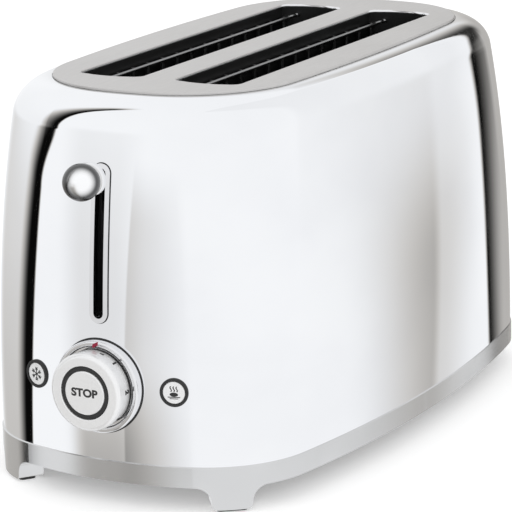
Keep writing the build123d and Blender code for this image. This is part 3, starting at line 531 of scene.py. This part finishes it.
def stadium_path(middle_z, half_width, half_height, steps=24):
    """The same round an upright slot with round ends."""
    straight = half_height - half_width
    path = []
    for side in (1, -1):
        for step in range(steps):
            z = middle_z + side * straight * (2 * step / steps - 1)
            path.append((side * half_width, z, side, 0.0))
        for step in range(steps):
            angle = math.pi * (step / steps + (side < 0))
            out_x, out_z = math.cos(angle), math.sin(angle)
            z = middle_z + side * straight + half_width * out_z
            path.append((half_width * out_x, z, out_x, out_z))
    return path


def shadow_line(name, path, width):
    """A thin black strip on the shell round a bezel: a painted shadow in the gap where the bezel meets the shell.
    """
    def place(column, row):
        x, z, out_x, out_z = path[column % len(path)]
        x, z = x + out_x * row * width, z + out_z * row * width
        return x, front_y(x, z) - shadow_line_proud, z

    shape = band_of_quads(len(path), 1, place)
    bmesh.ops.solidify(shape, geom=shape.faces, thickness=shadow_line_thickness * MM)
    new_piece(name, shape, finishes["black_plastic"], "root")


def panel_shadow_strip():
    """A thin black strip between the top panel and the shell: a painted shadow in the gap under the panel's edge.
    """
    inner_drop, outer_drop, lift, thickness = 0.001, 0.004, 0.06, 0.05
    sections = sections_at((shell_top - inner_drop, shell_top - outer_drop))
    shape = band_of_quads(
        4 * quarter_steps, 1,
        lambda column, row: (*outline_point(column, *sections[row]), shell_top + lift),
    )
    # Painted shadow: a black strip stands in for the shade under the panel's edge
    bmesh.ops.solidify(shape, geom=shape.faces, thickness=thickness * MM)
    new_piece("panel_shadow_strip", shape, finishes["black_plastic"], "root")


panel_shadow_strip()
shadow_line("dial_bezel_shadow_line", circle_path(control_z, dial_bezel_radius - shadow_line_tuck), 0.75)
bezel_path = stadium_path(
    slot_middle_z, slot_bezel_half_width - shadow_line_tuck, slot_bezel_half_height - shadow_line_tuck
)
shadow_line("slot_bezel_shadow_line", bezel_path, 0.5)


# Inside the bread slots
def rounded_path(half_x, half_y, radius, bow, steps):
    """Points of a rounded rectangle whose ends bow outward, counter-clockwise."""
    path = []
    for corner, (sign_x, sign_y) in enumerate(((1, 1), (-1, 1), (-1, -1), (1, -1))):
        for step in range(steps + 1):
            angle = math.pi / 2 * (corner + step / steps)
            x = sign_x * (half_x - radius) + radius * math.cos(angle)
            y = sign_y * (half_y - radius) + radius * math.sin(angle)
            path.append((x, y))
        if corner in (0, 2):
            for step in range(1, 2 * steps):
                share = step / (2 * steps)
                x = sign_x * (half_x - radius) * (1 - 2 * share)
                path.append((x, sign_y * (half_y + bow * 4 * share * (1 - share))))
    return path


def slot_ring(name, side, profile, finish):
    """A thin sleeve round a bread slot; profile lists how far inward of the wall, and how high."""
    corner_points, thickness = 10, 0.05
    paths = [
        rounded_path(
            slot_half_width - inward, slot_half_length - slot_end_bow - inward,
            slot_corner_radius - inward, slot_end_bow, corner_points,
        )
        for inward, _ in profile
    ]
    columns = len(paths[0])

    def place(column, row):
        x, y = paths[row][column % columns]
        return side * slot_center_x + x, y, profile[row][1]

    shape = band_of_quads(columns, len(profile) - 1, place)
    bmesh.ops.recalc_face_normals(shape, faces=shape.faces)
    bmesh.ops.solidify(shape, geom=shape.faces, thickness=thickness * MM)
    smooth(shape)
    new_piece(name, shape, finish, "root")


# Painted shade: a black sleeve inside each slot stands in for the darkness down in it
shade_sleeve_gap = 0.12
shade_sleeve_heights = (lip_bottom - 6.0, lip_bottom, shell_top, body_height - 1.4)
shade_sleeve_profile = [(shade_sleeve_gap, height) for height in shade_sleeve_heights]
lip_gap, lip_sink = 0.1, 0.03
lip_turns = [math.radians(turn) for turn in (90, 70, 50, 30, 12, 0)]
lip_start, lip_top = lip_gap - lip_round, body_height - lip_sink - lip_round
lip_profile = [
    (lip_start + lip_round * math.sin(turn), lip_top + lip_round * math.cos(turn)) for turn in lip_turns
]
for side, side_name in ((-1, "left"), (1, "right")):
    slot_ring(side_name + "_slot_shade_sleeve", side, shade_sleeve_profile, painted_slot_shade)
    slot_ring(side_name + "_slot_lip", side, lip_profile, finishes["trim_chrome"])

# Guide loops: one of a pair that meet rises as it bends and the other falls, so that they clear
loop_wire_radius, loop_radius, loop_reach = 1.0, 3.0, 2.5
loop_steps, loop_climb = 14, 0.16
quarter_turn = Matrix.Rotation(math.pi / 2, 3, "X")


def guide_loops(guide, x, inward):
    """Small bent wire loops at both ends of a bread guide, which steer the slice in."""
    shape = bmesh.new()
    for end in (-1, 1):
        start = bmesh.ops.create_circle(shape, segments=10, radius=loop_wire_radius * MM)
        ring = start["verts"]
        y = end * (guide_half_span + loop_reach)
        bmesh.ops.rotate(shape, verts=ring, cent=(0, 0, 0), matrix=quarter_turn)
        bmesh.ops.translate(shape, verts=ring, vec=about_body(x, y, guide_top_z))
        edges = list({edge for vertex in ring for edge in vertex.link_edges})
        bmesh.ops.spin(
            shape, geom=ring + edges, cent=about_body(x + inward * loop_radius, y, guide_top_z),
            axis=(0, 0, 1), dvec=Vector((0, 0, inward * loop_climb * MM)),
            angle=-end * inward * math.pi, steps=loop_steps, use_merge=False,
        )
    bmesh.ops.holes_fill(shape, edges=[edge for edge in shape.edges if edge.is_boundary])
    smooth(shape)
    new_piece(guide + "_loops", shape, finishes["wire_steel"], guide)


for guide, side, offset in (
    ("left_outer_guide", -1, -1), ("left_inner_guide", -1, 1),
    ("right_inner_guide", 1, -1), ("right_outer_guide", 1, 1),
):
    guide_loops(guide, side * slot_center_x + offset * guide_open, -offset)


# Printed marks
ink_height = 0.04 * MM


def bar(shape, length, width, place):
    """A printed stroke, drawn along x on the plane z = 0."""
    made = bmesh.ops.create_cube(shape, size=1.0)
    bmesh.ops.scale(shape, vec=(length, width, ink_height), verts=made["verts"])
    bmesh.ops.transform(shape, matrix=place, verts=made["verts"])


def lettering(text, size, weight):
    """Text as a bmesh on the plane z = 0, centred on the origin; weight thickens its strokes."""
    curve = bpy.data.curves.new("letters", "FONT")
    curve.body = text
    curve.size = size
    curve.offset = weight * size
    curve.extrude = 0.03 * MM
    curve.align_x = "CENTER"
    curve.align_y = "CENTER"
    holder = bpy.data.objects.new("letters", curve)
    bpy.context.scene.collection.objects.link(holder)
    mesh = bpy.data.meshes.new_from_object(holder)
    shape = bmesh.new()
    shape.from_mesh(mesh)
    bpy.data.objects.remove(holder)
    bpy.data.meshes.remove(mesh)
    return shape


def around_dial(turn, radius, y):
    """A place on the dial's side: turn is clockwise from the top as seen from the front, in degrees."""
    angle = math.radians(turn)
    out = Vector((math.sin(angle), 0, math.cos(angle)))
    origin = about_body(out.x * radius, y, control_z + out.z * radius)
    up = Vector((0, 1, 0))
    return Matrix.Translation(origin) @ Matrix((up.cross(out), up, out)).transposed().to_4x4()


def dial_scale():
    """A dash for the rest position and six numbered settings round the dial's side."""
    dash_turn, dash_length, dash_width = 17.5, 2.4 * MM, 1.2 * MM
    first_turn, turn_between, digit_size, digit_weight = 41, 47, 4.2 * MM, 0.07
    proud, lift = 6.6, 0.03
    scale_y = front_y(0, control_z) - proud
    radius = dial_skirt_radius + lift
    shape = bmesh.new()
    bar(shape, dash_length, dash_width, around_dial(dash_turn, radius, scale_y))
    for number in range(6):
        digit = lettering(str(number + 1), digit_size, digit_weight)
        matrix = around_dial(first_turn + turn_between * number, radius, scale_y)
        bmesh.ops.transform(digit, matrix=matrix, verts=digit.verts)
        mesh = bpy.data.meshes.new("digit")
        digit.to_mesh(mesh)
        digit.free()
        shape.from_mesh(mesh)
        bpy.data.meshes.remove(mesh)
    return shape


def dial_gap_shadow():
    """A thin black ring round the dial's skirt: a painted shadow for the dark gap between the skirt and the bezel.
    """
    proud, depth, thickness, lift = 4.15, 1.85, 0.05, 0.12
    radius = (dial_skirt_radius + lift) * MM
    shape = bmesh.new()
    ring = bmesh.ops.create_cone(shape, segments=128, radius1=radius, radius2=radius, depth=depth * MM)
    bmesh.ops.rotate(shape, verts=ring["verts"], cent=(0, 0, 0), matrix=quarter_turn)
    middle = about_body(0, front_y(0, control_z) - proud + depth / 2, control_z)
    bmesh.ops.translate(shape, verts=ring["verts"], vec=middle)
    bmesh.ops.solidify(shape, geom=shape.faces, thickness=thickness * MM)
    smooth(shape)
    return shape


# The pointer's line on the bezel: degrees from the top, radius, and how proud of the shell it lies
index_line = ((5.4, 24.45, 3.55), (4.4, 23.9, 3.84), (-1.4, 22.7, 3.84), (-1.9, 21.5, 3.84))
index_half_width, index_thickness = 0.9, 0.03


def index_mark():
    """The pointer painted on the dial's bezel, bent over its rounded front."""
    face = front_y(0, control_z)
    points = []
    for turn, radius, proud in index_line:
        x = radius * math.sin(math.radians(turn))
        z = control_z + radius * math.cos(math.radians(turn))
        points.append(Vector((x, face - proud, z)))
    shape = bmesh.new()
    rows = []
    for index, point in enumerate(points):
        way = points[min(index + 1, len(points) - 1)] - points[max(index - 1, 0)]
        aside = Vector((way.z, 0, -way.x)).normalized() * index_half_width
        rows.append([shape.verts.new(about_body(*spot)) for spot in (point - aside, point + aside)])
    for first, second in zip(rows, rows[1:]):
        shape.faces.new((first[0], first[1], second[1], second[0]))
    bmesh.ops.solidify(shape, geom=shape.faces, thickness=index_thickness * MM)
    return shape


def stop_word():
    """The word on the stop key's face, drawn a little wide."""
    size, weight, widening = 5.85 * MM, 0.045, 1.12
    shape = lettering("STOP", size, weight)
    matrix = facing(front_of("stop_button", forward), forward) @ Matrix.Diagonal((widening, 1, 1, 1))
    bmesh.ops.transform(shape, matrix=matrix, verts=shape.verts)
    return shape


def snowflake(place):
    """Six arms with two pairs of twigs each."""
    arm, twig, width = 3.5 * MM, 1.3 * MM, 0.6 * MM
    shape = bmesh.new()
    for index in range(6):
        turned = place @ Matrix.Rotation(math.radians(60 * index + 30), 4, "Z")
        bar(shape, arm, width, turned @ Matrix.Translation((arm / 2, 0, 0)))
        for side in (-1, 1):
            fork = Matrix.Rotation(side * math.radians(45), 4, "Z")
            for along in (0.52, 0.78):
                root = turned @ Matrix.Translation((arm * along, 0, 0)) @ fork
                middle = root @ Matrix.Translation((twig / 2, 0, 0))
                bar(shape, twig * (1.2 - along * 0.4), width * 0.8, middle)
    return shape


def wavy_line(shape, x, low, high, width, sway, place):
    made = bmesh.ops.create_grid(shape, x_segments=1, y_segments=14, size=0.5)
    for vertex in made["verts"]:
        along = vertex.co.y + 0.5
        vertex.co.x = x + vertex.co.x * width + sway * math.sin(along * 2 * math.pi)
        vertex.co.y = low + along * (high - low)
        vertex.co.z = ink_height / 2
    bmesh.ops.transform(shape, matrix=place, verts=made["verts"])


def warm_dish(place):
    """Steam over a loaf on a dish."""
    steam_apart, steam_low, steam_high, steam_width, steam_sway = (
        size * MM for size in (1.6, 0.5, 3.5, 0.65, 0.35)
    )
    loaf_radius, loaf_flatness, loaf_y = 2.3 * MM, 0.5, -0.95 * MM
    dish_length, dish_width, dish_y = 6.8 * MM, 0.5 * MM, -2.4 * MM
    foot_length, foot_width, foot_y = 4.6 * MM, 0.4 * MM, -3.2 * MM
    shape = bmesh.new()
    for x in (-steam_apart, 0.0, steam_apart):
        wavy_line(shape, x, steam_low, steam_high, steam_width, steam_sway, place)
    bar(shape, dish_length, dish_width, place @ Matrix.Translation((0, dish_y, 0)))
    loaf = bmesh.ops.create_circle(shape, cap_ends=True, segments=28, radius=loaf_radius)
    bmesh.ops.scale(shape, vec=(1, loaf_flatness, 1), verts=loaf["verts"])
    matrix = place @ Matrix.Translation((0, loaf_y, ink_height / 2))
    bmesh.ops.transform(shape, matrix=matrix, verts=loaf["verts"])
    bar(shape, foot_length, foot_width, place @ Matrix.Translation((0, foot_y, 0)))
    return shape


new_piece("dial_scale", dial_scale(), ink, "browning_dial")
# Painted shadow: a black ring for the dark gap round the dial
new_piece("dial_shadow_ring", dial_gap_shadow(), finishes["black_plastic"], "browning_dial")
new_piece("index_mark", index_mark(), red_paint, "root")
new_piece("stop_lettering", stop_word(), ink, "stop_key")
for node, joint, body, draw in (
    ("defrost_button", "defrost_push", "defrost_key", snowflake),
    ("reheat_button", "reheat_push", "reheat_key", warm_dish),
):
    outward = -joint_axis(joint)
    place = facing(front_of(node, outward), outward)
    new_piece(node.replace("button", "pictogram"), draw(place), ink, body)


# Studio. Directions are in degrees: around runs from the front (0) by the right side (90) to the left
# side (270), ahead is the same turn from -180 to 180, and rise is the height over the horizon. A step
# or fade runs between two such angles, and a share after it says how much of the white it takes away.
def left_shades(around, rise):
    """The dark gap that the front's left corner mirrors, and the haze beside it."""
    # The gap darkens from its start to full and stops at a sharp edge; below the level it bends away
    gap_start, gap_full, sharp_edge = 294.5, 307.8, (308.8, 309.8)
    haze_start, level = (215, 246), -2.5
    lower, sunk = rise.fade(level, 3.5), rise.under(level)
    bent = around + (rise * rise) ** 1.25 * 0.00066 + lower * 6.6 + sunk * 0.42
    inside = bent.fade(*sharp_edge)
    start = gap_start - lower * 5.0 - sunk * 0.15
    full = gap_full - lower * 2.3 - sunk * 0.1
    gap = bent.step(start, full) * inside * rise.fade(58, 66)
    haze = rise.fade(-8, 2) * 0.2 + rise.fade(0, 45) * 0.05 + rise.fade(-22, -6) * 0.2
    return gap + haze * around.step(*haze_start) * inside * (1 - gap)


def arch_shades(around, rise):
    """The dark arch at the far right corner, upright beside the wall and bent over the shoulder."""
    # Its edge is upright beside the wall, and turns back over the shoulder
    upright_edge, most_bend = 162.85, 20.5
    bend = ((rise.over(-3.0) / 9.76) ** 2.75).at_most(most_bend)
    edge = bend + rise.under(-5.0) * 0.56 + rise.fade(-8, -2) * 0.6 + upright_edge
    past = around - edge
    # Low down it lightens within a few degrees of its edge, and high up only towards the back
    high = rise.step(6, 20)
    turning = rise.step(-5, -1) * rise.fade(4, 12) * 0.8
    low_shade = 1 - (past + turning).step(0.2, 5.8) * 0.49
    high_shade = 0.97 - around.step(176, 200) * 0.82
    arch = (low_shade * (1 - high) + high_shade * high) * past.step(-0.4, 0.5)
    arch = arch * rise.fade(26.5, 34) * around.fade(196, 222)
    # A haze low down in front of it, and a faint veil up the side
    haze = around.step(138, 158) * (1 - around.step(154.6, 156.8) * 0.5) * around.fade(156, 167)
    haze = haze * (1 - rise.step(-12, -4) * 0.8 - rise.step(-4, 10) * 0.2) * 0.52
    veil = around.step(130, 145) * past.fade(-4, 0) * rise.step(-20, -10) * 0.06
    return arch + haze + veil


def front_shades(ahead, rise):
    """A faint upright band on the front, a darker strip low down, and the floor seen at its foot."""
    band = ahead.step(-50, -38) * ahead.fade(-26, -12) * rise.fade(-6, 14) * 0.16
    leaning = ahead - rise * 0.2
    low_strip = leaning.step(-19.5, -18.5) * ahead.fade(-19, 8) * rise.fade(-2, 4) * 0.22
    floor = ahead.step(-47, -38) * ahead.fade(-30, 10) * rise.fade(-19, -11) * 0.36
    return band + low_strip + floor


def studio_world():
    """White all round, with the dark gaps between soft boxes that the plating shows."""
    world = bpy.data.worlds.new("studio")
    bpy.context.scene.world = world
    world.use_nodes = True
    maker = Maker(world.node_tree)
    direction = maker.node("ShaderNodeTexCoord")
    x, y, z = (
        maker.node("ShaderNodeSeparateXYZ", {}, {0: direction}, output=axis) for axis in range(3)
    )
    in_degrees = 180 / math.pi
    ahead = maker.node("ShaderNodeMath", {"operation": "ARCTAN2"}, {0: x, 1: y * -1.0}) * in_degrees
    around = maker.node("ShaderNodeMath", {"operation": "WRAP"}, {0: ahead, 1: 360.0, 2: 0.0})
    rise = maker.node("ShaderNodeMath", {"operation": "ARCSINE"}, {0: z}) * in_degrees

    black, white, shade_of_rest = (0.0, 0.0, 0.0, 1), (1, 1, 1, 1), (0.86, 0.86, 0.86, 1)
    warm, cool, darkest = (1.0, 0.97, 0.93, 1), (0.975, 0.985, 1.0, 1), 0.997
    shade = left_shades(around, rise) + arch_shades(around, rise) + front_shades(ahead, rise)
    clear = 1 - shade.at_most(darkest)
    colour = maker.mix(clear, black, maker.mix(clear.step(0.5, 0.95), warm, cool))
    plain = maker.mix(maker.mirror_ray(), shade_of_rest, colour)
    shown = maker.mix(maker.camera_ray(), plain, white)
    light = maker.node("ShaderNodeBackground", {}, {"Color": shown, "Strength": 1.0})
    maker.node("ShaderNodeOutputWorld", {}, {"Surface": light})


def studio_floor():
    """Pale paper that keeps the shadow; the camera sees it lifted towards white."""
    made, maker = material("floor_paper")
    fibre = maker.noise(maker.place(), 900.0, 2)
    surface(maker, {
        "Base Color": maker.mix(fibre, grey(0.93), grey(0.95)),
        "Roughness": 0.9,
        "Specular IOR Level": 0.1,
        "Emission Color": maker.mix(maker.camera_ray(), grey(0.0), grey(1.0)),
        "Emission Strength": 0.3,
    })
    shape = bmesh.new()
    bmesh.ops.create_grid(shape, x_segments=1, y_segments=1, size=6.0)
    floor = linked("studio_floor", shape, made)
    floor.visible_glossy = False


def key_lamp():
    """A soft disc on the right of the camera, which the plating doesn't mirror."""
    place, target = Vector((0.95, -1.95, 0.75)), Vector((0, -0.1, 0.12))
    light = bpy.data.lights.new("key_lamp", "AREA")
    light.shape = "DISK"
    light.size = 0.8
    light.energy = 9.0
    lamp = bpy.data.objects.new("key_lamp", light)
    bpy.context.scene.collection.objects.link(lamp)
    lamp.location = place
    lamp.visible_glossy = False
    lamp.rotation_euler = (target - place).to_track_quat("-Z", "Y").to_euler()


def photo_camera():
    """The camera at the photograph's turn, rise and roll."""
    right = Vector((math.cos(camera_turn), math.sin(camera_turn), 0))
    back = Vector((
        math.sin(camera_turn) * math.cos(camera_rise),
        -math.cos(camera_turn) * math.cos(camera_rise),
        math.sin(camera_rise),
    ))
    up = back.cross(right)
    rolled_right = math.cos(camera_roll) * right + math.sin(camera_roll) * up
    rolled_up = -math.sin(camera_roll) * right + math.cos(camera_roll) * up
    lens = bpy.data.cameras.new("camera")
    lens.sensor_width = sensor_width
    lens.lens = sensor_width * focal_in_frames
    lens.clip_start, lens.clip_end = 0.05, 30.0
    camera = bpy.data.objects.new("camera", lens)
    bpy.context.scene.collection.objects.link(camera)
    basis = Matrix((rolled_right, rolled_up, back)).transposed().to_4x4()
    camera.matrix_world = Matrix.Translation(camera_target + back * camera_distance) @ basis
    bpy.context.scene.camera = camera


studio_world()
studio_floor()
key_lamp()
photo_camera()

bpy.context.scene.view_settings.view_transform = "Standard"
